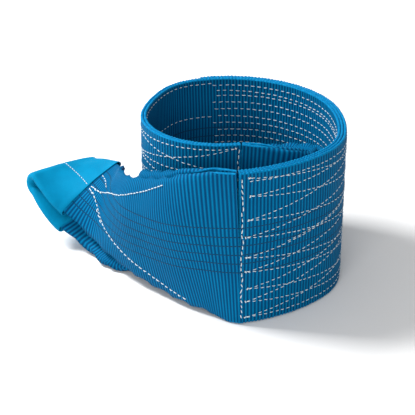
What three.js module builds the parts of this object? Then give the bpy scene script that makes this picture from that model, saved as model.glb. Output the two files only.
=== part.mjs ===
// Flat web sling: one long strip of webbing wound into a coil of two and three plies, with a
// loop eye at each end of the coil. Each eye is the strip folded to half its width, and its tip
// wears a sewn cloth sleeve. Units are millimetres, +Z is up, and the coil stands on its edge.
import * as THREE from "three";

// Webbing
const WEB_WIDTH = 240;
const PLY = 4.2; // thickness of one ply
const PLY_GAP = 0.4; // air between two plies that lie on each other
const PLY_PITCH = PLY + PLY_GAP;
const MIDDLE = WEB_WIDTH / 2; // height of the webbing's centre line where it stands on edge

// Coil, seen from above: the joint line between the inner ply and the ply outside it.
// It starts at the outer eye's seam and runs counter-clockwise to the inner eye's seam.
const COIL_START = { x: 43, y: -125.5, heading: 12.5 };
const COIL_ARCS = [
  { length: 143, turn: 35 },
  { length: 66, turn: 33.5 },
  { length: 94, turn: 21.5 },
  { length: 268, turn: 95.5 },
  { length: 71, turn: 44.5 },
  { length: 80, turn: 18 },
  { length: 226, turn: 115 },
];
const COIL_LENGTH = COIL_ARCS.reduce((sum, arc) => sum + arc.length, 0);
const COIL_STEP = 17; // longest straight step along the coil
const INNER_FACE = -PLY_GAP / 2 - PLY; // distances outwards from the joint line
const INNER_BACK = -PLY_GAP / 2;
const MIDDLE_BACK = PLY_GAP / 2;
const MIDDLE_FACE = MIDDLE_BACK + PLY;
const LAP_BACK = MIDDLE_FACE + PLY_GAP;
const OUTER_FACE = LAP_BACK + PLY;
const LAP_END = 563; // where the strip's cut end lies on the outside of the coil
const HINGE_AT = 741; // where the inner wrap springs out from the rest of the coil
const HINGE_GAP = 0.6;

// Eyes: measures along a leg from its seam
const LEG_LENGTH = 432;
const FOLD_START = 105; // where the folded edges are sewn down
const FOLD_DEPTH = 14; // how far each edge is turned in there
const FLAP_START = 50; // where the turned edge is deep enough to be a layer of its own
const FOLD_END = 345; // where the two turned edges meet on the centre line
const FLAP_CLEARANCE = 0.6; // half the gap between the two flaps where they meet
const SLEEVE_START = 346;
const SLEEVE_WALL = 1.7;
const SLEEVE_GAP = 0.6;
const SLEEVE_EDGE = 2.6; // how far the sleeve stands out beyond the folded edge
const TIP_STEPS = 4;
const LEG_STEPS = 16;

// Threads
const THREAD = 1.2; // thickness above the webbing
const THREAD_WIDTH = 2.4;
const THREAD_LIFT = 0.6;
const SEAM_END_GAP = 8; // from the end of a fold seam to the sleeve
const CROSS_SEAM_INSET = 7; // from each selvedge to the end of a cross seam
const CROSS_SEAM_SET_BACK = 4.5; // from the end of the coil to the middle of its cross seam

// The outer eye's upper leg at equal steps from its seam: the middle of its outer face, the
// direction of its upper edge, how much its lower and upper halves curl away from that face
// (1/m), how far the lower leg lies behind it and is slipped towards the lower edge, and how
// much the lower leg's lower half is tucked under the upper leg's fold (1/m).
const OUTER_EYE = [
  { centre: [42, -133, 120], edge: [-0.05, 0, 1], curl: [0, 0], mouth: 13.4, slip: 0, tuck: 0 },
  { centre: [-9, -121, 115.5], edge: [-0.15, -0.06, 0.98], curl: [0, 2], mouth: 18.8, slip: 0, tuck: 0 },
  { centre: [-54, -95, 107], edge: [-0.2, -0.07, 0.98], curl: [0, 4], mouth: 19, slip: 0, tuck: 0 },
  { centre: [-92, -59, 101], edge: [-0.22, -0.05, 0.97], curl: [0, 6], mouth: 19.5, slip: 2, tuck: 0 },
  { centre: [-128, -21, 98], edge: [-0.15, 0, 0.98], curl: [1, 7], mouth: 23, slip: 4, tuck: -4 },
  { centre: [-153, 29, 98], edge: [0.1, 0.03, 0.99], curl: [2, 6], mouth: 38, slip: 34, tuck: 16 },
  { centre: [-167, 80, 95], edge: [0.42, 0.15, 0.88], curl: [3, 4], mouth: 38, slip: 36, tuck: 17 },
  { centre: [-194, 124, 103], edge: [0.75, 0.48, 0.42], curl: [2, 3], mouth: 42, slip: 20, tuck: 6 },
  { centre: [-227, 166, 111], edge: [0.77, 0.64, -0.04], curl: [1, 2], mouth: 36, slip: 0, tuck: 0 },
];

// The inner eye's inside leg, seen from above, at the same steps. It stands on its lower fold.
const INNER_EYE = [
  { x: 48, y: -32, mouth: 8.8 },
  { x: 99, y: -28, mouth: 18.8 },
  { x: 141, y: -4, mouth: 19 },
  { x: 156, y: 46, mouth: 19.5 },
  { x: 147, y: 98, mouth: 21 },
  { x: 116, y: 141, mouth: 24 },
  { x: 70, y: 166, mouth: 29 },
  { x: 18, y: 169, mouth: 34 },
  { x: -32, y: 152, mouth: 36 },
];
const INNER_EYE_LIFT = 1.5; // of its lower fold off the floor
const INNER_EYE_TIP_LIFT = 3; // more of it under the sleeve

// The part's origin, on the floor under the middle of its box, in the coordinates used above
const ORIGIN = { x: -42.7, y: 48.2, z: 0 };

const COLOURS = { webbing: 0x1272b4, sleeve: 0x0a9cc8, thread: 0xdfe6ea };

function material(colour) {
  return new THREE.MeshStandardMaterial({ color: colour, roughness: 0.75, metalness: 0 });
}

const materials = {
  webbing: material(COLOURS.webbing),
  sleeve: material(COLOURS.sleeve),
  thread: material(COLOURS.thread),
};

const sling = new THREE.Group();
sling.position.set(-ORIGIN.x, -ORIGIN.y, -ORIGIN.z);

function addPiece(name, geometry, slot) {
  const mesh = new THREE.Mesh(geometry, materials[slot]);
  mesh.name = name;
  sling.add(mesh);
}

// ---- Coil ----

// The point at a distance along the joint line, moved outwards from it.
function coilPoint(distance, outwards) {
  const point = new THREE.Vector2(COIL_START.x, COIL_START.y);
  let heading = THREE.MathUtils.degToRad(COIL_START.heading);
  let left = distance;
  for (const arc of COIL_ARCS) {
    const run = Math.min(left, arc.length);
    const turn = THREE.MathUtils.degToRad(arc.turn) * (run / arc.length);
    const chord = turn === 0 ? run : (2 * run * Math.sin(turn / 2)) / turn;
    point.x += chord * Math.cos(heading + turn / 2);
    point.y += chord * Math.sin(heading + turn / 2);
    heading += turn;
    left -= run;
    if (left <= 0) break;
  }
  point.x += outwards * Math.sin(heading);
  point.y -= outwards * Math.cos(heading);
  return point;
}

// A length of ply: its outline in plan, raised to the webbing's width.
function plyGeometry(from, to, inner, outer) {
  const steps = Math.max(1, Math.ceil((to - from) / COIL_STEP));
  const face = (outwards) =>
    Array.from({ length: steps + 1 }, (_, i) =>
      coilPoint(from + ((to - from) * i) / steps, outwards),
    );
  const outline = new THREE.Shape([...face(outer), ...face(inner).reverse()]);
  return new THREE.ExtrudeGeometry(outline, { depth: WEB_WIDTH, bevelEnabled: false });
}

// A row of thick thread down the coil, standing proud of the face it is sewn through.
function crossSeamGeometry(middle, outwards) {
  const half = THREAD_WIDTH / 2;
  const lift = outwards + THREAD_LIFT;
  const outline = new THREE.Shape([
    coilPoint(middle - half, lift),
    coilPoint(middle + half, lift),
    coilPoint(middle + half, lift + THREAD),
    coilPoint(middle - half, lift + THREAD),
  ]);
  const geometry = new THREE.ExtrudeGeometry(outline, {
    depth: WEB_WIDTH - 2 * CROSS_SEAM_INSET,
    bevelEnabled: false,
  });
  return geometry.translate(0, 0, CROSS_SEAM_INSET);
}

function addCoil() {
  const outerWrapEnd = HINGE_AT - HINGE_GAP / 2;
  const innerWrapStart = HINGE_AT + HINGE_GAP / 2;
  const outerSeam = HINGE_GAP / 2;
  const innerSeam = COIL_LENGTH - HINGE_GAP / 2;
  addPiece("lap_ply", plyGeometry(outerSeam, LAP_END, LAP_BACK, OUTER_FACE), "webbing");
  addPiece(
    "outer_wrap_outer_ply",
    plyGeometry(outerSeam, outerWrapEnd, MIDDLE_BACK, MIDDLE_FACE),
    "webbing",
  );
  addPiece(
    "outer_wrap_inner_ply",
    plyGeometry(outerSeam, outerWrapEnd, INNER_FACE, INNER_BACK),
    "webbing",
  );
  addPiece(
    "inner_wrap_outer_ply",
    plyGeometry(innerWrapStart, innerSeam, MIDDLE_BACK, MIDDLE_FACE),
    "webbing",
  );
  addPiece(
    "inner_wrap_inner_ply",
    plyGeometry(innerWrapStart, innerSeam, INNER_FACE, INNER_BACK),
    "webbing",
  );
  addPiece("outer_cross_seam", crossSeamGeometry(CROSS_SEAM_SET_BACK, OUTER_FACE), "thread");
  addPiece(
    "inner_cross_seam",
    crossSeamGeometry(COIL_LENGTH - CROSS_SEAM_SET_BACK, MIDDLE_FACE),
    "thread",
  );
}

// ---- Eyes ----

// Distance from the centre line to the sewn edge of the flap, at a place along a leg.
function flapEdge(along) {
  const sewn = MIDDLE - 2 * FOLD_DEPTH;
  if (along < FOLD_START) return MIDDLE - 2 * FOLD_DEPTH * (along / FOLD_START) ** 1.5;
  const share = (along - FOLD_START) / (FOLD_END - FOLD_START);
  return Math.max(FLAP_CLEARANCE, sewn * (1 - share));
}

// Distance from the centre line to the fold.
function foldEdge(along) {
  return (MIDDLE + flapEdge(along)) / 2;
}

// A smooth line through equally spaced triples.
function smoothLine(triples) {
  const points = triples.map((triple) => new THREE.Vector3(...triple));
  return new THREE.CatmullRomCurve3(points, false, "catmullrom", 0.5);
}

// Frames along the first leg: place, direction of travel, edge direction and outward normal.
// The first frame is square to the end of the coil that the leg is sewn to.
function firstLegFrames(stations, start) {
  const centres = smoothLine(stations.map((station) => station.centre));
  const edges = smoothLine(stations.map((station) => station.edge));
  const curls = smoothLine(stations.map(({ curl }) => [curl[0], curl[1], 0]));
  const mouths = smoothLine(stations.map(({ mouth, slip, tuck }) => [mouth, slip, tuck]));
  const frames = Array.from({ length: LEG_STEPS + 1 }, (_, i) => {
    const share = i / LEG_STEPS;
    const travel = centres.getTangent(share);
    const edge = edges.getPoint(share);
    edge.addScaledVector(travel, -edge.dot(travel)).normalize();
    const curl = curls.getPoint(share);
    const mouth = mouths.getPoint(share);
    return {
      along: share * LEG_LENGTH,
      place: centres.getPoint(share),
      travel,
      edge,
      out: edge.clone().cross(travel),
      curl: [curl.x / 1000, curl.y / 1000],
      mouth: mouth.x,
      slip: mouth.y,
      tuck: mouth.z / 1000,
    };
  });
  frames[0] = { ...frames[0], ...start };
  return frames;
}

// The end of the coil as the first frame of a leg.
function coilEndFrame(distance, outwards, direction) {
  const place = coilPoint(distance, outwards);
  const behind = coilPoint(distance - direction, outwards);
  const travel = new THREE.Vector3(place.x - behind.x, place.y - behind.y, 0).normalize();
  const edge = new THREE.Vector3(0, 0, 1);
  return {
    place: new THREE.Vector3(place.x, place.y, MIDDLE),
    travel,
    edge,
    out: edge.clone().cross(travel),
  };
}

// The frame of the other leg, which lies behind this one and faces the other way.
function otherLegFrame(frame) {
  const behind = turnedFrame(frame, -frame.slip, -frame.mouth);
  const [lower, upper] = frame.curl.map((curl) => -curl / (1 - curl * frame.mouth));
  return {
    ...frame,
    place: behind.place,
    travel: frame.travel.clone().negate(),
    edge: behind.edge,
    out: behind.out.negate(),
    curl: [lower + frame.tuck, upper],
  };
}

// The half circle that joins the two legs at the tip.
function tipFrames(last) {
  const radius = last.mouth / 2;
  const middle = last.place.clone().addScaledVector(last.out, -radius);
  return Array.from({ length: TIP_STEPS + 1 }, (_, i) => {
    const angle = (Math.PI * i) / TIP_STEPS;
    const out = last.out.clone().multiplyScalar(Math.cos(angle));
    out.addScaledVector(last.travel, Math.sin(angle));
    const travel = last.travel.clone().multiplyScalar(Math.cos(angle));
    travel.addScaledVector(last.out, -Math.sin(angle));
    return {
      along: LEG_LENGTH,
      place: middle.clone().addScaledVector(out, radius),
      travel,
      edge: last.edge.clone(),
      out,
      curl: last.curl.map((curl) => curl * (1 - (2 * i) / TIP_STEPS)),
    };
  });
}

// The place beside a frame, across the webbing and out from its outer face, and how the
// curled webbing is turned there.
function turnedFrame(frame, across, outwards) {
  const curl = frame.curl[across < 0 ? 0 : 1];
  const bend = curl * across;
  const flat = Math.abs(curl) < 1e-6;
  const sideways = flat ? across : Math.sin(bend) / curl;
  const back = flat ? 0 : (1 - Math.cos(bend)) / curl;
  const edge = frame.edge.clone().multiplyScalar(Math.cos(bend));
  edge.addScaledVector(frame.out, -Math.sin(bend));
  const out = frame.out.clone().multiplyScalar(Math.cos(bend));
  out.addScaledVector(frame.edge, Math.sin(bend));
  const place = frame.place.clone().addScaledVector(frame.edge, sideways);
  place.addScaledVector(frame.out, -back).addScaledVector(out, outwards);
  return { place, edge, out };
}

function beside(frame, across, outwards) {
  return turnedFrame(frame, across, outwards).place;
}

// A closed band of triangles swept through the frames. section(frame) gives its loop of
// [across, outwards] points, clockwise when looking along the travel: first along its outer
// face and then back along its inner one. Both faces are split along the same diagonals, so
// that layers which lie on each other stay apart where they twist.
function sweep(frames, section) {
  const rings = frames.map((frame) =>
    section(frame).map(([across, outwards]) => beside(frame, across, outwards)),
  );
  const triangles = [];
  rings.slice(1).forEach((ring, i) => {
    const before = rings[i];
    ring.forEach((corner, k) => {
      const next = (k + 1) % ring.length;
      const quad = [before[k], before[next], ring[next], corner];
      if (k >= ring.length / 2) quad.push(quad.shift());
      addQuad(triangles, quad, false);
    });
  });
  return { rings, triangles };
}

function addQuad(triangles, corners, reversed) {
  const [a, b, c, d] = reversed ? [...corners].reverse() : corners;
  triangles.push(a, b, c, a, c, d);
}

function toGeometry(triangles) {
  const geometry = new THREE.BufferGeometry().setFromPoints(triangles);
  geometry.computeVertexNormals();
  return geometry;
}

// A layer of a leg. columns(frame) lists its distances across, from low to high.
function layerGeometry(frames, columns, inner, outer) {
  const loop = (frame) => {
    const across = columns(frame);
    const top = across.map((distance) => [distance, outer]);
    const bottom = across.map((distance) => [distance, inner]).reverse();
    return [...top, ...bottom];
  };
  const { rings, triangles } = sweep(frames, loop);
  const cap = (ring, reversed) => {
    const last = ring.length - 1;
    for (let i = 0; i < ring.length / 2 - 1; i += 1) {
      addQuad(triangles, [ring[i], ring[i + 1], ring[last - i - 1], ring[last - i]], reversed);
    }
  };
  cap(rings[0], true);
  cap(rings[rings.length - 1], false);
  return toGeometry(triangles);
}

// The sleeve: a flat tube round the folded webbing, open at both ends.
function sleeveGeometry(frames) {
  const tube = (margin) => (frame) => {
    const edge = foldEdge(frame.along) + SLEEVE_EDGE - SLEEVE_WALL + margin;
    const half = foldEdge(frame.along) / 2;
    const across = [-edge, -half, 0, half, edge];
    const top = across.map((distance) => [distance, SLEEVE_GAP + margin]);
    const bottom = across.map((distance) => [distance, -2 * PLY_PITCH - SLEEVE_GAP - margin]);
    return [...top, ...bottom.reverse()];
  };
  const outside = sweep(frames, tube(SLEEVE_WALL));
  const inside = sweep(frames, tube(0));
  const triangles = [...outside.triangles];
  for (let i = 0; i < inside.triangles.length; i += 3) {
    const [a, b, c] = inside.triangles.slice(i, i + 3);
    triangles.push(a, c, b);
  }
  const rim = (end, reversed) => {
    const outer = outside.rings.at(end);
    const inner = inside.rings.at(end);
    outer.forEach((corner, k) => {
      const next = (k + 1) % outer.length;
      addQuad(triangles, [corner, outer[next], inner[next], inner[k]], reversed);
    });
  };
  rim(0, true);
  rim(-1, false);
  return toGeometry(triangles);
}

// The distances across at which the face of a leg is divided: at the folds, at the sewn
// edges of the flaps and between them.
function halfColumns(frame) {
  const fold = foldEdge(frame.along);
  const flap = Math.min(flapEdge(frame.along), fold - 1);
  return [flap / 3, (2 * flap) / 3, flap, (flap + fold) / 2, fold];
}

function legColumns(frame) {
  const half = halfColumns(frame);
  return [...half.map((distance) => -distance).reverse(), 0, ...half];
}

function flapColumns(frame, sign) {
  const flap = halfColumns(frame).slice(2);
  return sign > 0 ? flap : flap.map((distance) => -distance).reverse();
}

function seamColumns(frame, sign) {
  const middle = sign * (flapEdge(frame.along) + THREAD_WIDTH);
  return [middle - THREAD_WIDTH / 2, middle + THREAD_WIDTH / 2];
}

function moved(frame, distance) {
  const place = frame.place.clone().addScaledVector(frame.travel, distance);
  return { ...frame, place };
}

// One leg: its face, the two turned-in flaps behind it, and their fold seams.
function addLeg(name, frames) {
  const folded = frames.filter((frame) => frame.along >= FLAP_START);
  const sewn = frames.filter(
    (frame) => frame.along >= FOLD_START && frame.along < SLEEVE_START - SEAM_END_GAP,
  );
  addPiece(name, layerGeometry(frames, legColumns, -PLY, 0), "webbing");
  for (const [side, sign] of [["lower", -1], ["upper", 1]]) {
    addPiece(
      `${name}_${side}_flap`,
      layerGeometry(folded, (frame) => flapColumns(frame, sign), -PLY_PITCH - PLY, -PLY_PITCH),
      "webbing",
    );
    addPiece(
      `${name}_${side}_fold_seam`,
      layerGeometry(sewn, (frame) => seamColumns(frame, sign), THREAD_LIFT, THREAD_LIFT + THREAD),
      "thread",
    );
  }
}

// One eye. Its first leg runs out to the tip, and its second leg runs back from it.
function addEye(name, firstLeg, secondLeg, stations, start) {
  const out = firstLegFrames(stations, start);
  const back = out.map(otherLegFrame).reverse();
  const tip = tipFrames(out.at(-1));
  const half = TIP_STEPS / 2;
  const tipOut = [...tip.slice(1, half), moved(tip[half], -HINGE_GAP / 2)];
  const tipBack = [moved(tip[half], HINGE_GAP / 2), ...tip.slice(half + 1, TIP_STEPS)];
  addLeg(`${name}_${firstLeg}`, [...out, ...tipOut]);
  addLeg(`${name}_${secondLeg}`, [...tipBack, ...back]);
  const sleeved = [
    ...out.filter((frame) => frame.along >= SLEEVE_START),
    ...tip.slice(1, TIP_STEPS),
    ...back.filter((frame) => frame.along >= SLEEVE_START),
  ];
  addPiece(`${name}_sleeve`, sleeveGeometry(sleeved), "sleeve");
  const sleeveFace = SLEEVE_GAP + SLEEVE_WALL + THREAD_LIFT;
  const seam = () => [-THREAD_WIDTH / 2, THREAD_WIDTH / 2];
  addPiece(
    `${name}_sleeve_seam`,
    layerGeometry(sleeved, seam, sleeveFace, sleeveFace + THREAD),
    "thread",
  );
}

// The inner eye's stations with their heights, standing on the lower fold.
function standingStations() {
  const steps = INNER_EYE.length - 1;
  return INNER_EYE.map(({ x, y, mouth }, i) => {
    const lift = INNER_EYE_LIFT + (INNER_EYE_TIP_LIFT * i) / steps;
    const height = foldEdge((i * LEG_LENGTH) / steps) + lift;
    return { centre: [x, y, height], edge: [0, 0, 1], curl: [0, 0], mouth, slip: 0, tuck: 0 };
  });
}

addCoil();
addEye(
  "outer_eye",
  "upper_leg",
  "lower_leg",
  OUTER_EYE,
  coilEndFrame(-HINGE_GAP / 2, OUTER_FACE, -1),
);
addEye(
  "inner_eye",
  "inside_leg",
  "outside_leg",
  standingStations(),
  coilEndFrame(COIL_LENGTH + HINGE_GAP / 2, INNER_FACE, 1),
);

export default sling;
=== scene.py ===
# Flat web sling, stored as an upright coil with one eye outside it and one inside. The webbing's
# ribs, tracer yarns and stitches are all geometry. Lengths are millimetres until a mesh is made.
import math

import bpy
import numpy as np
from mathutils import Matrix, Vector


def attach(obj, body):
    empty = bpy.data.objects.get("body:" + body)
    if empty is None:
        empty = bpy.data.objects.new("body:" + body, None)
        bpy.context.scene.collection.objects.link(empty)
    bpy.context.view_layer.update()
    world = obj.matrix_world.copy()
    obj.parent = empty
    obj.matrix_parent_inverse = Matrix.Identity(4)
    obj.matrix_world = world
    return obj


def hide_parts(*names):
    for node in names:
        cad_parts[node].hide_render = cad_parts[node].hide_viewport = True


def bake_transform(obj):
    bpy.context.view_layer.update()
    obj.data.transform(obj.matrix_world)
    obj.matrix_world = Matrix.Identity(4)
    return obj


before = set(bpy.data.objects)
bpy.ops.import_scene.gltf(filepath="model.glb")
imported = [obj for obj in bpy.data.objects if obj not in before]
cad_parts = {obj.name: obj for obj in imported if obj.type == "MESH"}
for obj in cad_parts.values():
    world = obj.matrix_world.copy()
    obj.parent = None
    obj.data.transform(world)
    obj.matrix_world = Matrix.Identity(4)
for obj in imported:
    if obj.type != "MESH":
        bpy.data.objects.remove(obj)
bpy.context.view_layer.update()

MM = 0.001
SEED = 7

# ---- Driving sizes, the same as the frame's ----

WEB_WIDTH = 240.0
MIDDLE = WEB_WIDTH / 2
PLY = 4.2
PLY_PITCH = 4.6
INNER_FACE = -4.4  # distances outwards from the joint line between the inner and middle plies
MIDDLE_FACE = 4.4
OUTER_FACE = 9.0

COIL_START = (43.0, -125.5, 12.5)  # x, y, heading in degrees
COIL_ARCS = (
    # length and turn in degrees
    (143, 35), (66, 33.5), (94, 21.5), (268, 95.5), (71, 44.5), (80, 18), (226, 115),
)
COIL_LENGTH = sum(length for length, turn in COIL_ARCS)
LAP_END = 563.0  # where the outermost lap's cut end lies
HINGE_AT = 741.0  # where the inner wrap leaves the rest of the coil

LEG_LENGTH = 432.0
FOLD_START = 105.0
FOLD_DEPTH = 14.0
FOLD_END = 345.0
SLEEVE_START = 365.0

OUTER_EYE = (
    # middle of the outer face, direction of the upper edge, curl of lower and upper half in 1/m,
    # and for the lower leg: how far behind it lies, how far it has slipped down, and the extra
    # curl of its lower half
    ((42, -133, 120), (-0.05, 0, 1), (0, 0), (13.4, 0, 0)),
    ((-9, -121, 115.5), (-0.15, -0.06, 0.98), (0, 2), (18.8, 0, 0)),
    ((-54, -95, 107), (-0.2, -0.07, 0.98), (0, 4), (19, 0, 0)),
    ((-92, -59, 101), (-0.22, -0.05, 0.97), (0, 6), (19.5, 2, 0)),
    ((-128, -21, 98), (-0.15, 0, 0.98), (1, 7), (23, 4, -4)),
    ((-153, 29, 98), (0.1, 0.03, 0.99), (2, 6), (38, 34, 16)),
    ((-167, 80, 95), (0.42, 0.15, 0.88), (3, 4), (38, 36, 17)),
    ((-194, 124, 103), (0.75, 0.48, 0.42), (2, 3), (42, 20, 6)),
    ((-227, 166, 111), (0.77, 0.64, -0.04), (1, 2), (36, 0, 0)),
)
INNER_EYE = (
    # x, y of the inside leg's face, and how far behind it the other leg lies
    (48, -32, 8.8), (99, -28, 18.8), (141, -4, 19), (156, 46, 19.5), (147, 98, 21),
    (116, 141, 24), (70, 166, 29), (18, 169, 34), (-32, 152, 36),
)
INNER_EYE_LIFT = 1.5
INNER_EYE_TIP_LIFT = 3.0

ORIGIN = np.array([-42.7, 48.2, 0.0])

# ---- Weave and sewing ----

RIB = 5.2  # pitch of the ribs along the webbing
RIB_STEPS = 6
RIB_HEIGHT = 0.36
RIB_WANDER = 0.6
SELVEDGE_BEAD = 0.95
SELVEDGE_ANGLES = (67.5, 22.5)  # of the mesh rows round a selvedge
FACE_ROW = 7.0  # spacing of mesh rows across a face
EDGE_ROWS = np.array([0.0, 1.6, 3.8])  # closer rows, from where a selvedge begins
TRACER_LINES = (-35.5, -21.3, -7.1, 7.1, 21.3, 35.5)
TRACER_WIDTH = 1.3
TRACER_THICKNESS = 0.5
TRACER_RISE = 0.22  # above the rib that it crosses
TRACER_DIP = 0.45  # between two ribs
SPLICE_THREAD = {"pitch": 8.6, "length": 5.2, "width": 1.15, "sway": 0.45}
INSIDE_THREAD = {"pitch": 10.4, "length": 6.2, "width": 1.15, "sway": 0.45}
FOLD_THREAD = {"pitch": 8.2, "length": 5.6, "width": 1.7, "sway": 0.5}
CROSS_THREAD = {"pitch": 8.6, "length": 6.6, "width": 1.6, "sway": 1.3}
SLEEVE_THREAD = {"pitch": 5.6, "length": 4.6, "width": 1.2, "sway": 0.15}
BEND = 30.0  # half the stretch of the coil's wall that bends at its hinge
EYE_BEND = 60.0  # stretch of a leg that bends at its seam
EYE_BEND_DONE = 40.0

# ---- The folded strip of an eye ----

HEADING_EASE = 9  # millimetres over which the coil's heading is averaged
PLACE_EASE = 21  # the same for an eye's middle line
EDGE_EASE = 45  # the same for the direction of its edge and the place of its lower leg
FOLD_RADIUS = PLY_PITCH / 2
FOLD_TAKES = 3.6  # half the cloth that goes round a fold
ROOT_SPREAD = 4.5  # extra half width of the flat face at a seam
ROOT_LENGTH = 45.0  # in which that extra width fades out
FOLD_CALM = 14.0  # stretch before a fold in which the ribs flatten
FOLD_PRESSED = 1.0  # share of the ribs' height that is lost in a fold
LEG_PRESSED = 0.4  # share of it that is lost all over an eye
TIP_STEPS = 40

rng = np.random.default_rng(SEED)


def to_frame(points):
    """Millimetres to the row frame's metres."""
    return (np.asarray(points, float) - ORIGIN) * MM


# ---- Where a point of the coil is ----


def coil_table():
    """Finely spaced points and headings along the joint line."""
    x, y, heading = COIL_START[0], COIL_START[1], math.radians(COIL_START[2])
    rows = [(x, y, heading)]
    for length, turn in COIL_ARCS:
        step = math.radians(turn) / length
        for _ in range(length):
            heading_middle = heading + step / 2
            x += math.cos(heading_middle)
            y += math.sin(heading_middle)
            heading += step
            rows.append((x, y, heading))
    return np.array(rows)


COIL = coil_table()


def eased(values, width):
    """A row of values averaged over a width, with both of its ends kept."""
    kernel = np.ones(width) / width
    padded = np.pad(values, width // 2, mode="reflect", reflect_type="odd")
    return np.convolve(padded, kernel, "valid")


def eased_columns(values, width):
    """Columns of values eased twice, so that their slope has no sudden change either."""
    return np.stack([eased(eased(column, width), width) for column in values.T], -1)


HEADINGS = eased(COIL[:, 2], HEADING_EASE)


def coil_at(along, outwards):
    """x, y and heading at a distance along the joint line, moved outwards from it."""
    steps = np.arange(len(COIL))
    along = np.asarray(along, float)
    inside = np.clip(along, 0, COIL_LENGTH)
    x, y = (np.interp(inside, steps, COIL[:, k]) for k in (0, 1))
    heading = np.interp(inside, steps, HEADINGS)
    beyond = along - inside
    x = x + beyond * np.cos(heading) + outwards * np.sin(heading)
    y = y + beyond * np.sin(heading) - outwards * np.cos(heading)
    return x, y, heading


class CoilFace:
    """One face of one ply of the coil. along is distance from the outer seam, across is height
    above the webbing's middle, and out is distance from the face, away from the ply."""

    def __init__(self, face, sign, calm):
        self.face = face
        self.sign = sign
        self.calm = calm

    def at(self, along, across, out):
        along, across, out = np.broadcast_arrays(along, across, out)
        x, y, _ = coil_at(along, self.face + self.sign * out)
        return np.stack([x, y, across + MIDDLE], -1)

    def relief(self, along, across):
        return np.ones(np.broadcast(along, across).shape)


# ---- Where a point of an eye is ----


def catmull_rom(values, share, start_pull=None):
    """A smooth line through equally spaced values, as the frame's own eyes are."""
    values = np.asarray(values, float)
    count = len(values)
    place = np.clip(share, 0, 1) * (count - 1)
    first = np.minimum(place.astype(int), count - 2)
    w = (place - first)[:, None]
    before = 2 * values[0] - values[1] if start_pull is None else values[1] - 2 * start_pull
    full = np.vstack([before, values, 2 * values[-1] - values[-2]])
    p0, p1, p2, p3 = (full[first + k] for k in range(4))
    t0, t1 = (p2 - p0) / 2, (p3 - p1) / 2
    return (
        p1
        + t0 * w
        + (-3 * p1 + 3 * p2 - 2 * t0 - t1) * w**2
        + (2 * p1 - 2 * p2 + t0 + t1) * w**3
    )


def unit(vectors):
    return vectors / np.linalg.norm(vectors, axis=-1, keepdims=True)


def flap_edge(along):
    """Distance from the middle to the sewn edge of a turned-in flap."""
    along = np.asarray(along, float)
    early = MIDDLE - 2 * FOLD_DEPTH * np.clip(along / FOLD_START, 0, 1) ** 1.5
    share = (along - FOLD_START) / (FOLD_END - FOLD_START)
    late = (MIDDLE - 2 * FOLD_DEPTH) * (1 - share)
    return np.where(along < FOLD_START, early, np.maximum(0.6, late))


def fold_edge(along):
    """Distance from the middle to the fold."""
    return (MIDDLE + flap_edge(along)) / 2


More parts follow.
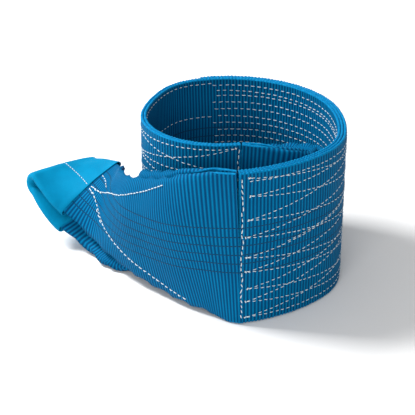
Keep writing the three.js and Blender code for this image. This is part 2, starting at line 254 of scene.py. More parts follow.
class Eye:
    """The strip of one eye, from its first seam out to the tip and back to its second seam.
    along is measured from the first seam, across is measured on the flat strip, and out is
    distance from the face that is outside the eye."""

    STEP = 1.0

    def __init__(self, stations, start_place, start_travel):
        share = np.linspace(0, 1, int(LEG_LENGTH / self.STEP) + 1)
        spacing = LEG_LENGTH / (len(stations) - 1)
        centres = np.array([s[0] for s in stations], float)
        centres[0] = start_place
        chord = unit(centres[1] - centres[0])
        pull = unit(chord + np.asarray(start_travel)) * spacing
        place = eased_columns(catmull_rom(centres, share, pull), PLACE_EASE)
        travel = unit(np.gradient(place, axis=0))
        edge = eased_columns(catmull_rom([s[1] for s in stations], share), EDGE_EASE)
        edge[:, :2] *= np.clip(share * len(stations), 0, 1)[:, None] ** 0.5
        edge = unit(edge - travel * (edge * travel).sum(-1, keepdims=True))
        curl = catmull_rom([s[2] for s in stations], share) / 1000
        offsets = eased_columns(catmull_rom([s[3] for s in stations], share), EDGE_EASE)
        first = dict(place=place, travel=travel, edge=edge, out=np.cross(edge, travel), curl=curl)
        second = self.other_leg(first, offsets)
        mouth = offsets[-1, 0]
        tip = self.tip(first, mouth)
        self.turn = math.pi * mouth / 2
        self.length = 2 * LEG_LENGTH + self.turn
        self.calm = (0, self.length)
        tip_along = LEG_LENGTH + np.linspace(0, self.turn, len(tip["place"]))[1:-1]
        self.steps = np.concatenate(
            [share * LEG_LENGTH, tip_along, LEG_LENGTH + self.turn + share * LEG_LENGTH]
        )
        self.table = {
            key: np.concatenate([first[key], tip[key][1:-1], second[key][::-1]]) for key in first
        }

    @staticmethod
    def turned(frames, across, out):
        """Place, edge and out direction beside the frames on the curled strip."""
        curl = np.where(across < 0, frames["curl"][..., 0], frames["curl"][..., 1])
        safe = np.where(np.abs(curl) < 1e-7, 1e-7, curl)
        bend = safe * across
        sideways = np.sin(bend) / safe
        back = (1 - np.cos(bend)) / safe
        cos, sin = np.cos(bend)[..., None], np.sin(bend)[..., None]
        edge = frames["edge"] * cos - frames["out"] * sin
        outward = frames["out"] * cos + frames["edge"] * sin
        place = frames["place"] + frames["edge"] * sideways[..., None]
        place = place - frames["out"] * back[..., None] + outward * np.asarray(out)[..., None]
        return place, edge, outward

    def other_leg(self, first, offsets):
        """The leg behind the first: how far behind, how far slipped down, and its extra curl."""
        behind, slip, tuck = offsets.T
        place, edge, outward = self.turned(first, -slip, -behind)
        curl = -first["curl"] / (1 - first["curl"] * behind[:, None])
        curl[:, 0] += tuck / 1000
        return dict(place=place, travel=-first["travel"], edge=edge, out=-outward, curl=curl)

    @staticmethod
    def tip(first, mouth):
        """The half turn that joins the two legs, as wide as the mouth between them."""
        last = {key: value[-1] for key, value in first.items()}
        angle = np.linspace(0, math.pi, TIP_STEPS)[:, None]
        out = last["out"] * np.cos(angle) + last["travel"] * np.sin(angle)
        travel = last["travel"] * np.cos(angle) - last["out"] * np.sin(angle)
        place = last["place"] - last["out"] * mouth / 2 + out * mouth / 2
        edge = np.repeat(last["edge"][None], len(angle), 0)
        return dict(place=place, travel=travel, edge=edge, out=out, curl=last["curl"] * np.cos(angle))

    def from_seam(self, along):
        """Distance to the nearer seam, at most a leg's length."""
        return np.clip(np.minimum(along, self.length - along), 0, LEG_LENGTH)

    def frames(self, along):
        flat = np.ravel(along)
        shape = np.shape(along)
        found = {}
        for key, value in self.table.items():
            columns = [np.interp(flat, self.steps, value[:, k]) for k in range(value.shape[1])]
            found[key] = np.stack(columns, -1).reshape(*shape, value.shape[1])
        for key in ("travel", "edge", "out"):
            found[key] = unit(found[key])
        return found

    def flat_half(self, along):
        """Half the width of the flat face between the two folds."""
        seam = self.from_seam(along)
        return fold_edge(seam) - FOLD_TAKES + ROOT_SPREAD * np.clip(1 - seam / ROOT_LENGTH, 0, 1)

    def relief(self, along, across):
        """How much of the ribs' height is left: they are pressed, most of all round a fold and
        where the strip turns so tightly that they are crowded."""
        past = (np.abs(across) - self.flat_half(along) + FOLD_CALM) / FOLD_CALM
        step = self.at(along + 1, across, 0.0) - self.at(along - 1, across, 0.0)
        room = np.clip(np.linalg.norm(step, axis=-1) / 2, 0, 1) ** 2
        return (1 - LEG_PRESSED) * (1 - FOLD_PRESSED * np.clip(past, 0, 1)) * room

    def section(self, along, across, out):
        """Where a point of the flat strip lies across the folded one, and how deep."""
        flat_half = self.flat_half(along)
        distance, side = np.abs(across), np.sign(across)
        angle = np.clip((distance - flat_half) / FOLD_RADIUS, 0, math.pi)
        past = np.maximum(distance - flat_half - math.pi * FOLD_RADIUS, 0)
        width = np.minimum(distance, flat_half) + FOLD_RADIUS * np.sin(angle) - past
        depth = -PLY / 2 - FOLD_RADIUS * (1 - np.cos(angle))
        reach = PLY / 2 + np.asarray(out)
        return side * (width + reach * np.sin(angle)), depth + reach * np.cos(angle)

    def at(self, along, across, out):
        along, across, out = np.broadcast_arrays(along, across, out)
        width, depth = self.section(along, across, out)
        return self.turned(self.frames(along), width, depth)[0]

    def beside(self, along, width, out):
        """A point beside the folded strip, by its distance from the middle of the fold."""
        along, width, out = np.broadcast_arrays(along, width, out)
        return self.turned(self.frames(along), width, out)[0]


def coil_end(along, outwards, sign):
    x, y, heading = coil_at(along, outwards)
    return (float(x), float(y), MIDDLE), (sign * math.cos(heading), sign * math.sin(heading), 0)


def standing_stations():
    """The inner eye's stations: it stands on its lower fold."""
    steps = len(INNER_EYE) - 1
    for i, (x, y, mouth) in enumerate(INNER_EYE):
        height = float(fold_edge(i * LEG_LENGTH / steps))
        lift = INNER_EYE_LIFT + INNER_EYE_TIP_LIFT * i / steps
        yield (x, y, height + lift), (0, 0, 1), (0, 0), (mouth, 0, 0)


outer_eye = Eye(OUTER_EYE, *coil_end(0, OUTER_FACE, -1))
inner_eye = Eye(tuple(standing_stations()), *coil_end(COIL_LENGTH, INNER_FACE, 1))

# ---- How pieces move: rigidly with one body; pieces that lie between two bodies are only baked in place ----


def bend_between(start, end):
    start, end = (tuple(to_frame(point)) for point in (start, end))
    return lambda obj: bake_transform(obj)


def ride_on(body):
    return lambda obj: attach(obj, body)


def coil_middle_point(along):
    x, y, _ = coil_at(along, 0)
    return (float(x), float(y), MIDDLE)


def eye_point(eye, along):
    return tuple(eye.at(np.array([along]), np.array([0.0]), np.array([0.0]))[0])


ZONES = {
    "outer_wrap": ride_on("outer_wrap"),
    "inner_wrap": ride_on("inner_wrap"),
    "outer_eye": ride_on("outer_eye"),
    "inner_eye": ride_on("inner_eye"),
    "wrap_bend": bend_between(
        coil_middle_point(HINGE_AT - BEND),
        coil_middle_point(HINGE_AT + BEND),
    ),
    "outer_eye_bend": bend_between(
        eye_point(outer_eye, 0), eye_point(outer_eye, EYE_BEND_DONE)
    ),
    "inner_eye_bend": bend_between(
        eye_point(inner_eye, 0), eye_point(inner_eye, EYE_BEND_DONE)
    ),
}

# ---- Materials ----

YARN_PITCH = 1.15  # of the webbing's yarns, across the strip
SLEEVE_YARN_PITCH = 0.8
SHEEN_ROUGHNESS = 0.45
CLOTH_SPECULAR = 0.03


class Nodes:
    """A short way to write a node tree."""

    def __init__(self, name):
        self.material = bpy.data.materials.new(name)
        self.material.use_nodes = True
        self.tree = self.material.node_tree
        self.shader = self.tree.nodes["Principled BSDF"]

    def add(self, kind, inputs=(), **settings):
        node = self.tree.nodes.new(kind)
        for key, value in settings.items():
            setattr(node, key, value)
        for key, value in dict(inputs).items():
            self.join(value, node.inputs[key])
        return node

    def join(self, value, socket):
        if isinstance(value, bpy.types.NodeSocket):
            self.tree.links.new(value, socket)
        else:
            socket.default_value = value

    def math(self, operation, a, b=0.0):
        return self.add("ShaderNodeMath", {0: a, 1: b}, operation=operation).outputs[0]

    def noise(self, vector, scale, detail=2.0):
        inputs = {"Vector": vector, "Scale": scale, "Detail": detail}
        return self.add("ShaderNodeTexNoise", inputs).outputs["Fac"]

    def ramp(self, value, stops):
        node = self.add("ShaderNodeValToRGB", {"Fac": value})
        ramp = node.color_ramp
        while len(ramp.elements) < len(stops):
            ramp.elements.new(0.5)
        for element, (position, colour) in zip(ramp.elements, stops):
            element.position = position
            element.color = (*colour, 1)
        return node.outputs["Color"]

    def product(self, a, b):
        """Two colours multiplied together."""
        inputs = {"Factor": 1.0, 6: a, 7: b}
        node = self.add("ShaderNodeMix", inputs, data_type="RGBA", blend_type="MULTIPLY")
        return node.outputs[2]

    def bump(self, height, distance, strength=1.0, normal=None):
        inputs = {"Height": height, "Distance": distance, "Strength": strength}
        node = self.add("ShaderNodeBump", inputs)
        if normal is not None:
            self.join(normal, node.inputs["Normal"])
        return node.outputs["Normal"]

    def finish(self, colour, normal, roughness, sheen, sheen_tint=(0.2, 0.7, 1.0)):
        self.join(colour, self.shader.inputs["Base Color"])
        self.join(normal, self.shader.inputs["Normal"])
        self.join(roughness, self.shader.inputs["Roughness"])
        self.shader.inputs["Sheen Weight"].default_value = sheen
        self.shader.inputs["Sheen Roughness"].default_value = SHEEN_ROUGHNESS
        self.shader.inputs["Sheen Tint"].default_value = (*sheen_tint, 1)
        self.shader.inputs["Specular IOR Level"].default_value = CLOTH_SPECULAR
        return self.material


def cloth_coordinates(nodes):
    """Ribs along the strip, millimetres across it, and the place in space."""
    uv = nodes.add("ShaderNodeUVMap", uv_map="cloth").outputs["UV"]
    split = nodes.add("ShaderNodeSeparateXYZ", {"Vector": uv})
    place = nodes.add("ShaderNodeTexCoord").outputs["Object"]
    return split.outputs["X"], split.outputs["Y"], place


def webbing_material():
    nodes = Nodes("woven_webbing")
    ribs, across, place = cloth_coordinates(nodes)
    # Colour: the rib crests are painted lighter and the valleys between them darker. This is a
    # painted highlight and painted shade on top of the modelled ribs. The fibre noise, the twill and
    # the worn patches are the webbing's own tone.
    wave = nodes.math("COSINE", nodes.math("MULTIPLY", ribs, 2 * math.pi))
    ridge = nodes.math("MULTIPLY_ADD", wave, 0.5)
    ridge.node.inputs[2].default_value = 0.5
    warp = nodes.math("SINE", nodes.math("MULTIPLY", across, 2 * math.pi / YARN_PITCH))
    rib_sides = nodes.math("SINE", nodes.math("MULTIPLY", ribs, 2 * math.pi))
    twill = nodes.math("MULTIPLY", warp, rib_sides)
    fibre = nodes.noise(place, 2600.0, 3.0)
    patch = nodes.noise(place, 14.0, 3.0)
    fibre_and_painted_rib_shade = nodes.math("MULTIPLY_ADD", fibre, 0.22)
    nodes.join(ridge, fibre_and_painted_rib_shade.node.inputs[2])
    shade = nodes.math("MULTIPLY_ADD", twill, 0.05)
    nodes.join(nodes.math("SUBTRACT", fibre_and_painted_rib_shade, 0.11), shade.node.inputs[2])
    # The ramp's light end is the painted crest highlight and its dark end is the painted valley
    # shade.
    yarn = nodes.ramp(
        shade,
        [
            (0.0, (0.0, 0.04, 0.12)),
            (0.35, (0.0, 0.075, 0.19)),
            (0.75, (0.0, 0.11, 0.26)),
            (1.0, (0.0, 0.17, 0.36)),
        ],
    )
    worn = nodes.ramp(patch, [(0.3, (0.9, 0.9, 0.92)), (0.7, (1.08, 1.08, 1.05))])
    colour = nodes.product(yarn, worn)
    rough = nodes.math("MULTIPLY_ADD", fibre, 0.2)
    rough.node.inputs[2].default_value = 0.5
    fine = nodes.bump(fibre, 0.00012, 0.6)
    normal = nodes.bump(nodes.math("ADD", warp, twill), 0.00009, 0.7, fine)
    return nodes.finish(colour, normal, rough, 0.02)


def selvedge_material():
    nodes = Nodes("woven_selvedge")
    place = nodes.add("ShaderNodeTexCoord").outputs["Object"]
    fibre = nodes.noise(place, 1500.0, 3.0)
    bead = nodes.noise(place, 420.0, 1.0)
    # Painted highlight: the whole selvedge is coloured a lighter blue than the faces, and the bead
    # noise adds lighter flecks. Both stand in for light catching the edges' yarn loops.
    colour = nodes.ramp(
        nodes.math("ADD", nodes.math("MULTIPLY", fibre, 0.5), nodes.math("MULTIPLY", bead, 0.5)),
        [(0.3, (0.0, 0.09, 0.23)), (0.55, (0.0, 0.18, 0.4)), (0.75, (0.01, 0.3, 0.55))],
    )
    normal = nodes.bump(fibre, 0.0003, 0.8)
    return nodes.finish(colour, normal, 0.55, 0.08)


def sleeve_material():
    nodes = Nodes("smooth_sleeve_cloth")
    ribs, across, place = cloth_coordinates(nodes)
    turns = 2 * math.pi / SLEEVE_YARN_PITCH
    warp = nodes.math("SINE", nodes.math("MULTIPLY", across, turns))
    weft = nodes.math("SINE", nodes.math("MULTIPLY", ribs, turns * RIB))
    weave = nodes.math("MULTIPLY", warp, weft)
    patch = nodes.noise(place, 22.0, 4.0)
    fibre = nodes.noise(place, 1800.0, 2.0)
    colour = nodes.ramp(
        nodes.math("ADD", nodes.math("MULTIPLY", patch, 0.8), nodes.math("MULTIPLY", fibre, 0.2)),
        [(0.25, (0.0, 0.15, 0.29)), (0.5, (0.0, 0.19, 0.36)), (0.8, (0.0, 0.23, 0.42))],
    )
    creases = nodes.bump(nodes.noise(place, 45.0, 2.0), 0.0008, 0.4)
    normal = nodes.bump(weave, 0.00005, 0.6, creases)
    return nodes.finish(colour, normal, 0.6, 0.02)


def thread_material(name, stops, roughness):
    nodes = Nodes(name)
    ribs, across, place = cloth_coordinates(nodes)
    twist = nodes.math("SINE", nodes.math("MULTIPLY", nodes.math("ADD", ribs, across), 9.0))
    fibre = nodes.noise(place, 900.0, 2.0)
    colour = nodes.ramp(fibre, stops)
    normal = nodes.bump(twist, 0.0001, 0.5)
    return nodes.finish(colour, normal, roughness, 0.15, (1, 1, 1))


MATERIALS = {
    "webbing": webbing_material(),
    "selvedge": selvedge_material(),
    "sleeve": sleeve_material(),
    "thread": thread_material(
        "white_thread", [(0.3, (0.42, 0.5, 0.54)), (0.6, (0.68, 0.76, 0.8))], 0.6
    ),
    "tracer": thread_material(
        "black_tracer_yarn", [(0.3, (0.004, 0.012, 0.02)), (0.7, (0.01, 0.03, 0.045))], 0.7
    ),
}

# ---- Making meshes ----


def make_piece(name, points, quads, uv, materials, face_material=None, caps=0):
    """A mesh object from points in millimetres, four-sided faces and one UV for each corner.
    caps is how many of its last faces are flat ends."""
    quads = np.asarray(quads, np.int32)
    points = to_frame(points)
    if signed_volume(points, quads) < 0:
        quads = quads[:, ::-1]
        uv = uv[:, ::-1]
    mesh = bpy.data.meshes.new(name)
    mesh.vertices.add(len(points))
    mesh.vertices.foreach_set("co", points.astype(np.float32).ravel())
    mesh.loops.add(quads.size)
    mesh.loops.foreach_set("vertex_index", quads.ravel())
    mesh.polygons.add(len(quads))
    mesh.polygons.foreach_set("loop_start", np.arange(0, quads.size, 4, dtype=np.int32))
    mesh.polygons.foreach_set("use_smooth", np.arange(len(quads)) < len(quads) - caps)
    for material in materials:
        mesh.materials.append(MATERIALS[material])
    if face_material is not None:
        mesh.polygons.foreach_set("material_index", np.asarray(face_material, np.int32))
    layer = mesh.uv_layers.new(name="cloth")
    layer.data.foreach_set("uv", np.asarray(uv, np.float32).ravel())
    mesh.update(calc_edges=True)
    obj = bpy.data.objects.new(name, mesh)
    bpy.context.scene.collection.objects.link(obj)
    return obj


def signed_volume(points, quads):
    a, b, c, d = (points[quads[:, k]] for k in range(4))
    return float((a * np.cross(b, c)).sum() + (a * np.cross(c, d)).sum())


def tube_quads(rings, count, closed=False):
    """Faces of a tube of rings, row by row. A closed tube joins its last ring to its first."""
    i, j = np.meshgrid(np.arange(rings - (not closed)), np.arange(count), indexing="ij")
    after, beside = (i + 1) % rings * count, (j + 1) % count
    quads = np.stack([i * count + j, i * count + beside, after + beside, after + j], -1)
    return quads.reshape(-1, 4)


def cap_quads(start, count, reverse):
    """Faces across a ring, each joining two corners to the two that lie opposite them."""
    k = np.arange(count // 2 - 1)
    quads = np.stack([k, k + 1, count - 2 - k, count - 1 - k], -1) + start
    return quads[:, ::-1] if reverse else quads


def capped_tubes(points):
    """All the faces of several tubes with both ends capped. points is (tubes, rings, count, 3)."""
    tubes, rings, count = points.shape[:3]
    one = np.concatenate(
        [
            tube_quads(rings, count),
            cap_quads(0, count, True),
            cap_quads((rings - 1) * count, count, False),
        ]
    )
    return (one[None] + (np.arange(tubes) * rings * count)[:, None, None]).reshape(-1, 4)


# ---- Webbing ----


def face_rows():
    """Rows across a face, closer near the selvedges."""
    near = MIDDLE - PLY / 2 - EDGE_ROWS
    count = int(near[-1] // FACE_ROW)
    inner = np.arange(-count, count + 1) * FACE_ROW
    return np.concatenate([-near, inner, near[::-1]])


def section_loop():
    """The strip's section: across, depth and the direction in which relief moves each row. It
    starts in the middle of the lower selvedge and runs along the outer face first."""
    rows = face_rows()
    radius = PLY / 2
    centre = MIDDLE - radius
    arc = [(math.cos(a), math.sin(a)) for a in np.radians(SELVEDGE_ANGLES)]
    loop = [(-centre - radius * c, -radius + radius * s, -c, s) for c, s in arc[::-1]]
    loop += [(v, 0.0, 0.0, 1.0) for v in rows]
    loop += [(centre + radius * c, -radius + radius * s, c, s) for c, s in arc]
    loop += [(v, -PLY - depth, side, -lift) for v, depth, side, lift in loop[::-1]]
    return np.array(loop)


def wander(ribs, across, calm):
    """How far a rib strays from straight, in millimetres. It stays straight at a seam."""
    stray = np.sin(across / 47 + ribs * 0.043) + 0.6 * np.sin(across / 19 - ribs * 0.11 + 1.3)
    nearest = np.min([np.abs(ribs * RIB - place) for place in calm], axis=0)
    return RIB_WANDER * stray * np.clip(nearest / (2 * RIB), 0, 1)


def rib_height(ribs, across):
    """Height of the ribbed face above its middle level, in millimetres."""
    ridge = (0.5 + 0.5 * np.cos(2 * math.pi * ribs)) ** 0.75 - 0.45
    return ridge * RIB_HEIGHT * (1 + 0.18 * np.sin(across / 7.0 + ribs))


def selvedge_bead(ribs):
    """The uneven loops of yarn at the selvedge."""
    swell = 0.5 + 0.5 * np.cos(2 * math.pi * ribs)
    return SELVEDGE_BEAD * (swell - 0.3 + 0.35 * np.sin(ribs * 1.7) * np.sin(ribs * 2.9))


def rib_steps(start, end):
    """Places of the mesh's rings, in ribs, with both ends exactly where they should be."""
    steps = np.arange(math.ceil(start / RIB * RIB_STEPS), math.floor(end / RIB * RIB_STEPS) + 1)
    inside = steps / RIB_STEPS
    inside = inside[(inside > start / RIB + 0.02) & (inside < end / RIB - 0.02)]
    return np.concatenate([[start / RIB], inside, [end / RIB]])


def web_strip(name, surface, start, end, zone, replaced=()):
    """A length of ribbed webbing on a surface, from start to end, closed all round."""
    loop = section_loop()
    ribs = rib_steps(start, end)[:, None]
    across, depth, side, lift = (loop[None, :, k] for k in range(4))
    relief = surface.relief(ribs * RIB, across)
    along = ribs * RIB + wander(ribs, across, surface.calm) * relief
    bead = np.abs(side) * selvedge_bead(ribs) * relief
    height = rib_height(ribs, across) * (side == 0) * relief
    points = surface.at(along, across + side * bead, depth + lift * (height + bead))
    quads = capped_tubes(points[None])
    count = len(loop)
    uv = np.stack([ribs[quads // count, 0], loop[quads % count, 0]], -1)
    on_edge = (np.abs(loop[:, 2]) > 0)[quads % count].any(1)
    obj = make_piece(
        name, points.reshape(-1, 3), quads, uv, ["webbing", "selvedge"], on_edge,
        caps=count - 2,
    )
    ZONES[zone](obj)
    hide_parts(*replaced)
    return obj


def tracer_yarns(name, surface, start, end, zone):
    """The dark yarns woven into a face. Each shows on the ribs and dips between them."""
    ribs = rib_steps(start, end)[None, :, None]
    lines = np.array(TRACER_LINES)[:, None, None]
    corner = np.array([(-1, 1), (1, 1), (1, 0), (-1, 0)], float)
    across = lines + corner[:, 0] * TRACER_WIDTH / 2
    along = ribs * RIB + wander(ribs, lines, surface.calm)
    dip = (0.5 - 0.5 * np.cos(2 * math.pi * ribs)) * TRACER_DIP
    top = rib_height(ribs, lines) + TRACER_RISE - dip
    out = top - (1 - corner[:, 1]) * TRACER_THICKNESS
    points = surface.at(along, across, out)
    quads = capped_tubes(points)
    uv = np.zeros((*quads.shape, 2))
    obj = make_piece(name, points.reshape(-1, 3), quads, uv, ["tracer"])
    ZONES[zone](obj)
    return obj


# ---- Sewing ----

STITCH_RINGS = np.array([-1.0, -0.85, -0.4, 0.4, 0.85, 1.0])  # along half a stitch
STITCH_GIRTH = np.array([0.3, 0.8, 1.0, 1.0, 0.8, 0.3])
STITCH_ARCH = np.array([-0.5, 0.25, 0.9, 0.9, 0.25, -0.5])
STITCH_SIDES = np.radians(np.arange(6) * 60 + 30)
STITCH_LIFT = 0.35  # of a stitch's ends above the middle level of the ribs
KNOT_SIZE = 4.0


def along_line(line, distances):
    """Places at distances along a line of (along, across) points, and the line's length."""
    line = np.asarray(line, float)
    lengths = np.concatenate([[0], np.cumsum(np.linalg.norm(np.diff(line, axis=0), axis=1))])
    return np.stack([np.interp(distances, lengths, line[:, k]) for k in (0, 1)], -1), lengths[-1]


def stitch_places(line, pitch, length, sway):
    """The (along, across) places of every ring of every stitch of a line."""
    total = along_line(line, np.zeros(1))[1]
    count = max(1, int(total // pitch))
    middles = (np.arange(count) + 0.5) * total / count + rng.uniform(-0.5, 0.5, count)
    lengths = length * rng.uniform(0.85, 1.12, count)
    distances = middles[:, None] + STITCH_RINGS * lengths[:, None] / 2
    places = along_line(line, distances.ravel())[0].reshape(count, len(STITCH_RINGS), 2)
    tilt = rng.uniform(-sway, sway, (count, 2))
    offset = tilt[:, :1] * (1 - STITCH_RINGS) / 2 + tilt[:, 1:] * (1 + STITCH_RINGS) / 2
    heading = unit(places[:, -1] - places[:, 0])
    aside = np.stack([-heading[:, 1], heading[:, 0]], -1)
    return places + offset[..., None] * aside[:, None]


def sew(name, surface, lines, spans, pitch, length, width, sway):
    """Rows of stitches on a face. spans says which stretches of the face move with what."""
    places = np.concatenate([stitch_places(line, pitch, length, sway) for line in lines])
    along, across = places[..., 0], places[..., 1]
    height = STITCH_ARCH * width / 2 + STITCH_LIFT
    middle = surface.at(along, across, height)
    normal = unit(surface.at(along, across, height + 0.5) - middle)
    travel = unit(np.gradient(middle, axis=1))
    aside = np.cross(travel, normal)
    half = (STITCH_GIRTH * width / 2)[:, None, None]
    cos, sin = np.cos(STITCH_SIDES)[:, None], np.sin(STITCH_SIDES)[:, None]
    points = middle[:, :, None] + half * (
        cos * aside[:, :, None] + 0.7 * sin * normal[:, :, None]
    )
    pieces = []
    for start, end, zone in spans:
        chosen = points[(along[:, 2] >= start) & (along[:, 2] < end)]
        if len(chosen) == 0:
            continue
        quads = capped_tubes(chosen)
        uv = np.zeros((*quads.shape, 2))
        uv[..., 0] = quads // len(STITCH_SIDES) * 0.9
        label = name if len(spans) == 1 else f"{name}_{zone}"
        obj = make_piece(label, chosen.reshape(-1, 3), quads, uv, ["thread"])
        ZONES[zone](obj)
        pieces.append(obj)
    return pieces


def knot(along, across):
    """A few short lines on top of each other, where a row of stitches turns back."""
    for angle in rng.uniform(0, math.pi, 3):
        reach = np.array([math.cos(angle), math.sin(angle)]) * KNOT_SIZE / 2
        yield np.array([[along, across] - reach, [along, across] + reach])


# ---- The coil ----

lap_face = CoilFace(OUTER_FACE, 1, (0,))
middle_face = CoilFace(MIDDLE_FACE, 1, (0, COIL_LENGTH))
inner_face = CoilFace(INNER_FACE, -1, (0, COIL_LENGTH))

WALL_SPANS = (
    (0, HINGE_AT - BEND, "outer_wrap"),
    (HINGE_AT - BEND, HINGE_AT + BEND, "wrap_bend"),
    (HINGE_AT + BEND, COIL_LENGTH, "inner_wrap"),
)
WALL_NODES = {
    ("middle_ply", "outer_wrap"): ["outer_wrap_outer_ply"],
    ("middle_ply", "inner_wrap"): ["inner_wrap_outer_ply"],
    ("inner_ply", "outer_wrap"): ["outer_wrap_inner_ply"],
    ("inner_ply", "inner_wrap"): ["inner_wrap_inner_ply"],
}


def build_coil():
    web_strip("outer_lap", lap_face, 0, LAP_END, "outer_wrap", ["lap_ply"])
    tracer_yarns("outer_lap_tracers", lap_face, 0, LAP_END, "outer_wrap")
    for name, face in (("middle_ply", middle_face), ("inner_ply", inner_face)):
        for start, end, zone in WALL_SPANS:
            web_strip(f"{name}_{zone}", face, start, end, zone, WALL_NODES.get((name, zone), ()))
            shown = start if face is inner_face else max(start, LAP_END)
            if shown < end:
                tracer_yarns(f"{name}_tracers_{zone}", face, shown, end, zone)


# ---- The splice sewing of the coil ----

LAP_NODES = (232, 204, 167, 140, 108, 85, 57, 36, 10)  # heights at which the zigzag turns
LAP_SEWN_FROM = 11
LAP_SEWN_TO = 335
LAP_LEVEL_FALL = 34
LAP_RISE = 66
LAP_TOP = 234
LAP_BOTTOM = 9
LAP_LEVEL_END = 20  # below this height a line from a node runs level
LAP_SEWN_AGAIN = 4  # the node whose rising line is sewn twice
WRAP_SEWN_FROM = 745
WRAP_SEWN_TO = 941
WRAP_SEAM_NODES = (234, 197, 163, 128, 94, 60, 28, 8)
WRAP_FAR_NODES = (226, 190, 165, 138, 102, 66, 36, 10)
INSIDE_ROWS = (
    229, 220, 211, 200, 188, 176, 164, 152, 141, 130, 119, 108, 97, 86, 74, 62, 50, 38, 26, 14,
)
INSIDE_FROM = 12
INSIDE_TO = 546
INSIDE_FAR_ROWS = (232, 175, 118, 62, 9)
INSIDE_FAR_TO = 940
CROSS_SEAM_INSET = 7
CROSS_SEAM_FROM_END = 3.2


def bowed(start, end, bow, steps=8):
    """A line between two (along, across) places that bows across by a little in its middle."""
    share = np.linspace(0, 1, steps)[:, None]
    line = np.asarray(start) * (1 - share) + np.asarray(end) * share
    line[:, 1] += 4 * bow * (share * (1 - share))[:, 0]
    return line


def lap_lines():
    lines = []
    for i, height in enumerate(LAP_NODES):
        start = LAP_SEWN_FROM + rng.uniform(-3, 4)
        node = (start, height - MIDDLE)
        top = min(height + LAP_RISE + rng.uniform(-6, 6), LAP_TOP)
        level = max(height - LAP_LEVEL_FALL + rng.uniform(-4, 4), LAP_BOTTOM)
        if i > 0:
            lines.append(bowed(node, (LAP_SEWN_TO, top - MIDDLE), rng.uniform(-3, 2)))
        if height > LAP_LEVEL_END:
            lines.append(bowed(node, (LAP_SEWN_TO, level - MIDDLE), rng.uniform(-2, 3)))
        else:
            lines.append(bowed(node, (LAP_SEWN_TO, height - MIDDLE), 1.0))
        lines.extend(knot(*node))
        if i == LAP_SEWN_AGAIN:
            again = (start + 60, height + 14 - MIDDLE)
            lines.append(bowed(again, (LAP_SEWN_TO, top - MIDDLE + 2.5), 0.0))
    lines.append(bowed((LAP_SEWN_FROM, 227 - MIDDLE), (LAP_SEWN_TO, 233 - MIDDLE), -2))
    return lines


def wrap_lines():
    lines = []
    for i, (far, near) in enumerate(zip(WRAP_FAR_NODES, WRAP_SEAM_NODES)):
        left = (WRAP_SEWN_FROM + rng.uniform(-3, 6), far - MIDDLE)
        right = (WRAP_SEWN_TO + rng.uniform(-2, 1), near - MIDDLE)
        lines.append(bowed(left, right, rng.uniform(0, 4)))
        if i + 1 < len(WRAP_SEAM_NODES):
            below = (WRAP_SEWN_TO, WRAP_SEAM_NODES[i + 1] - MIDDLE)
            lines.append(bowed(left, below, rng.uniform(-3, 1)))
            under = (WRAP_SEWN_FROM + 2, WRAP_FAR_NODES[i + 1] - MIDDLE)
            lines.append(bowed(under, right, rng.uniform(-2, 2)))
        lines.extend(knot(*left))
        lines.extend(knot(*right))
    return lines


def inside_lines():
    lines = []
    for height in INSIDE_ROWS:
        start, end = INSIDE_FROM + rng.uniform(0, 8), INSIDE_TO + rng.uniform(-7, 3)
        drift = rng.uniform(-3, 3)
        lines.append(bowed((start, height - MIDDLE), (end, height - MIDDLE), drift, 14))
    for height in INSIDE_FAR_ROWS:
        place = height - MIDDLE
        lines.append(bowed((INSIDE_TO, place), (INSIDE_FAR_TO, place), 2.0, 14))
    return lines


def cross_line(along):
    """A seam across the webbing, from a little inside one selvedge to the other."""
    reach = MIDDLE - CROSS_SEAM_INSET
    heights = np.linspace(-reach, reach, 12)
    return np.stack([along + 0.8 * np.sin(heights / 9), heights], -1)


def sew_coil():
    sew(
        "outer_lap_zigzag", lap_face, lap_lines(), [(0, LAP_END, "outer_wrap")], **SPLICE_THREAD
    )
    sew("inner_wrap_zigzag", middle_face, wrap_lines(), WALL_SPANS, **SPLICE_THREAD)
    sew("inside_rows", inner_face, inside_lines(), WALL_SPANS, **INSIDE_THREAD)
    outer = sew(
        "outer_cross_seam_stitches", lap_face, [cross_line(CROSS_SEAM_FROM_END)],
        [(0, LAP_END, "outer_wrap")], **CROSS_THREAD,
    )
    inner = sew(
        "inner_cross_seam_stitches", middle_face, [cross_line(COIL_LENGTH - CROSS_SEAM_FROM_END)],
        [(HINGE_AT, COIL_LENGTH, "inner_wrap")], **CROSS_THREAD,
    )
    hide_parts("outer_cross_seam")
    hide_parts("inner_cross_seam")


# ---- The eyes ----

SLEEVE_RADIUS = 4.9  # of the sleeve's inside round the fold
SLEEVE_WALL = 1.6
SLEEVE_STEP = 2.5
SLEEVE_HALF = 56.7  # half the width of its flat faces
SLEEVE_FLAT_ROWS = 40
SLEEVE_MIDDLE = -(PLY + PLY_PITCH) / 2  # of the folded strip, from its outer face
SLEEVE_FACE = SLEEVE_RADIUS + SLEEVE_WALL + SLEEVE_MIDDLE
HEM_DEPTH = 0.8
HEM_RISE = 0.45
CREASE = 0.3
HEM_CREASE = 0.25
PUCKER = 0.6  # depth of the groove along the sleeve's seam
FLAP_SEAM_INSET = 2.4  # of the thread from a flap's edge


class SleeveFace:
    """The outside of a sleeve: along the strip, across from its middle, and out from the cloth."""

    def __init__(self, eye):
        self.eye = eye

    def at(self, along, across, out):
        return self.eye.beside(along, across, SLEEVE_FACE + np.asarray(out))


def sleeve_section():
    """Width as a share of the flat part, and the angle round the fold, for each row."""
    flat = np.linspace(-1, 1, SLEEVE_FLAT_ROWS + 1)
    turn = np.linspace(0, math.pi, 11)[1:-1]
    top = [(share, 0.0) for share in flat]
    right = [(1.0, angle) for angle in turn]
    bottom = [(share, math.pi) for share in flat[::-1]]
    left = [(-1.0, 2 * math.pi - angle) for angle in turn[::-1]]
    return np.array(top + right + bottom + left)


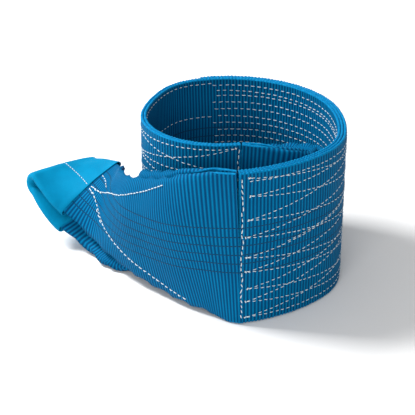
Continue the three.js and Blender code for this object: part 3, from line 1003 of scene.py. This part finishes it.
def sleeve_profile(start, end):
    """Places along the strip and levels through the cloth: outside, hem, inside and hem."""
    count = int((end - start) / SLEEVE_STEP)
    places = np.linspace(start, end, count + 1)
    hem = np.radians([60, 30, 0, -30, -60])
    outside = [(place, 1.0) for place in places]
    inside = [(place, 0.0) for place in places[::-1]]
    far = [(end + HEM_DEPTH * math.cos(a), 0.5 + 0.5 * math.sin(a)) for a in hem]
    near = [(start - HEM_DEPTH * math.cos(a), 0.5 + 0.5 * math.sin(a)) for a in hem[::-1]]
    return np.array(outside + far + inside + near)


def build_sleeve(name, eye, zone):
    start, end = SLEEVE_START, eye.length - SLEEVE_START
    section, profile = sleeve_section(), sleeve_profile(start, end)
    share, angle = section[None, :, 0], section[None, :, 1]
    along, level = profile[:, :1], profile[:, 1:]
    width = share * SLEEVE_HALF
    near_hem = np.minimum(along - start, end - along)
    crease = CREASE * np.sin(along / 8 + width / 17) * np.sin(width / 11 - along / 31)
    at_hem = np.exp(-((near_hem / 14) ** 2))
    crease = crease + HEM_CREASE * np.sin(along / 4.3 - width / 9) * at_hem
    pucker = PUCKER * np.exp(-((width / 3.5) ** 2)) * (1 + 0.4 * np.sin(along * 1.1))
    hem = HEM_RISE * np.exp(-(((near_hem - 3) / 4) ** 2))
    radius = SLEEVE_RADIUS + level * (SLEEVE_WALL + crease - pucker + hem)
    reach = width + radius * np.sin(angle) * np.where(np.abs(share) < 1, 0, 1)
    depth = SLEEVE_MIDDLE + radius * np.cos(angle)
    points = eye.beside(along, reach, depth)
    rings, count = points.shape[:2]
    quads = tube_quads(rings, count, closed=True)
    around = np.arange(1, count + 1) * 2 * SLEEVE_HALF / SLEEVE_FLAT_ROWS
    uv = np.stack([profile[quads // count, 0] / RIB, around[quads % count]], -1)
    obj = make_piece(name, points.reshape(-1, 3), quads, uv, ["sleeve"])
    ZONES[zone](obj)
    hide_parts(name)


def fold_seam_line(eye, leg_start, sign):
    """The sewn edge of a flap, on the leg that leaves a seam at leg_start."""
    seam = np.linspace(FOLD_START, SLEEVE_START - 7, 40)
    across = sign * (flap_edge(seam) + FLAP_SEAM_INSET)
    along = seam if leg_start == 0 else eye.length - seam
    return np.stack([along, across], -1)


def backtack_lines():
    """Where the fold seams meet the sleeve they are sewn over a second time."""
    return [
        bowed((SLEEVE_START - 46, 21), (SLEEVE_START - 3, 26), 1.5),
        bowed((SLEEVE_START - 40, 7.5), (SLEEVE_START - 3, 1.0), 0.5),
        bowed((SLEEVE_START - 32, -6.0), (SLEEVE_START - 3, -1.0), -0.5),
        bowed((SLEEVE_START - 75, -27.5), (SLEEVE_START - 45, -15.0), -0.6),
    ]


def build_eye(name, eye, zone, legs):
    middle, last = eye.length / 2, eye.length
    stretches = (
        (legs[0], 0, EYE_BEND, middle, f"{zone}_bend"),
        (legs[1], last, middle, last - EYE_BEND, f"{zone}_bend"),
    )
    for leg, seam, start, end, bend in stretches:
        nodes = [f"{name}_{leg}"] + [f"{name}_{leg}_{side}_flap" for side in ("lower", "upper")]
        web_strip(f"{name}_{leg}", eye, start, end, zone, nodes)
        tracer_yarns(f"{name}_{leg}_tracers", eye, start, end, zone)
        root = sorted((seam, start if seam == 0 else end))
        web_strip(f"{name}_{leg}_root", eye, *root, bend)
        tracer_yarns(f"{name}_{leg}_root_tracers", eye, *root, bend)
        for side, sign in (("lower", -1), ("upper", 1)):
            seam_name = f"{name}_{leg}_{side}_fold_seam"
            line = fold_seam_line(eye, seam, sign)
            threads = sew(seam_name, eye, [line], [(0, last, zone)], **FOLD_THREAD)
            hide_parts(seam_name)
    build_sleeve(f"{name}_sleeve", eye, zone)
    sew(f"{name}_backtacks", eye, backtack_lines(), [(0, last, zone)], **FOLD_THREAD)
    middle_line = bowed((SLEEVE_START + 2, 0), (last - SLEEVE_START - 2, 0), 0.0, 30)
    middle_line[:, 1] += np.sin(middle_line[:, 0] / 30)
    threads = sew(
        f"{name}_sleeve_seam", SleeveFace(eye), [middle_line], [(0, last, zone)], **SLEEVE_THREAD
    )
    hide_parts(f"{name}_sleeve_seam")


# ---- Floor, light and camera, in metres ----

FLOOR_SIZE = 14
FLOOR_PLACE = (0, 3, -0.0018)  # just under the lowest rib
SURROUNDINGS = 0.5
LIGHT_TARGET = (0, 0, 0.1)
LIGHTS = (
    # name, place, size, power in watts
    ("key", (-1.7, 0.5, 2.3), 0.8, 120),
    ("fill", (-0.6, -2.8, 1.5), 1.6, 42),
)
CAMERA_PITCH = math.radians(27)
CAMERA_DISTANCE = 2.0
CAMERA_LENS = 116.3  # millimetres, on a sensor 36 mm wide
CAMERA_SENSOR = 36
CAMERA_REACH = 60


def add_stage():
    bpy.ops.mesh.primitive_plane_add(size=FLOOR_SIZE, location=FLOOR_PLACE)
    floor = bpy.context.object
    floor.name = "floor"
    nodes = Nodes("pale_floor")
    place = nodes.add("ShaderNodeTexCoord").outputs["Object"]
    greys = [(0.3, (0.84, 0.84, 0.84)), (0.7, (0.86, 0.86, 0.86))]
    tone = nodes.ramp(nodes.noise(place, 3.0), greys)
    nodes.join(tone, nodes.shader.inputs["Base Color"])
    nodes.shader.inputs["Roughness"].default_value = 0.9
    nodes.shader.inputs["Specular IOR Level"].default_value = 0.1
    floor.data.materials.append(nodes.material)
    world = bpy.data.worlds.new("studio")
    world.use_nodes = True
    background = world.node_tree.nodes["Background"]
    background.inputs["Color"].default_value = (1, 1, 1, 1)
    background.inputs["Strength"].default_value = SURROUNDINGS
    bpy.context.scene.world = world


def add_light(name, place, size, power):
    data = bpy.data.lights.new(name, "AREA")
    data.size = size
    data.energy = power
    light = bpy.data.objects.new(name, data)
    light.location = place
    aim = Vector(LIGHT_TARGET) - Vector(place)
    light.rotation_euler = aim.to_track_quat("-Z", "Y").to_euler()
    bpy.context.scene.collection.objects.link(light)


def add_camera():
    data = bpy.data.cameras.new("camera")
    data.sensor_width = CAMERA_SENSOR
    data.lens = CAMERA_LENS
    data.clip_end = CAMERA_REACH
    camera = bpy.data.objects.new("camera", data)
    target = Vector(to_frame((0, 0, MIDDLE)))
    back = Vector((0, -math.cos(CAMERA_PITCH), math.sin(CAMERA_PITCH)))
    camera.location = target + back * CAMERA_DISTANCE
    camera.rotation_euler = (math.pi / 2 - CAMERA_PITCH, 0, 0)
    bpy.context.scene.collection.objects.link(camera)
    bpy.context.scene.camera = camera


add_camera()
add_stage()
for light_settings in LIGHTS:
    add_light(*light_settings)
bpy.context.scene.view_settings.view_transform = "Standard"

build_coil()
sew_coil()
build_eye("outer_eye", outer_eye, "outer_eye", ("upper_leg", "lower_leg"))
build_eye("inner_eye", inner_eye, "inner_eye", ("inside_leg", "outside_leg"))
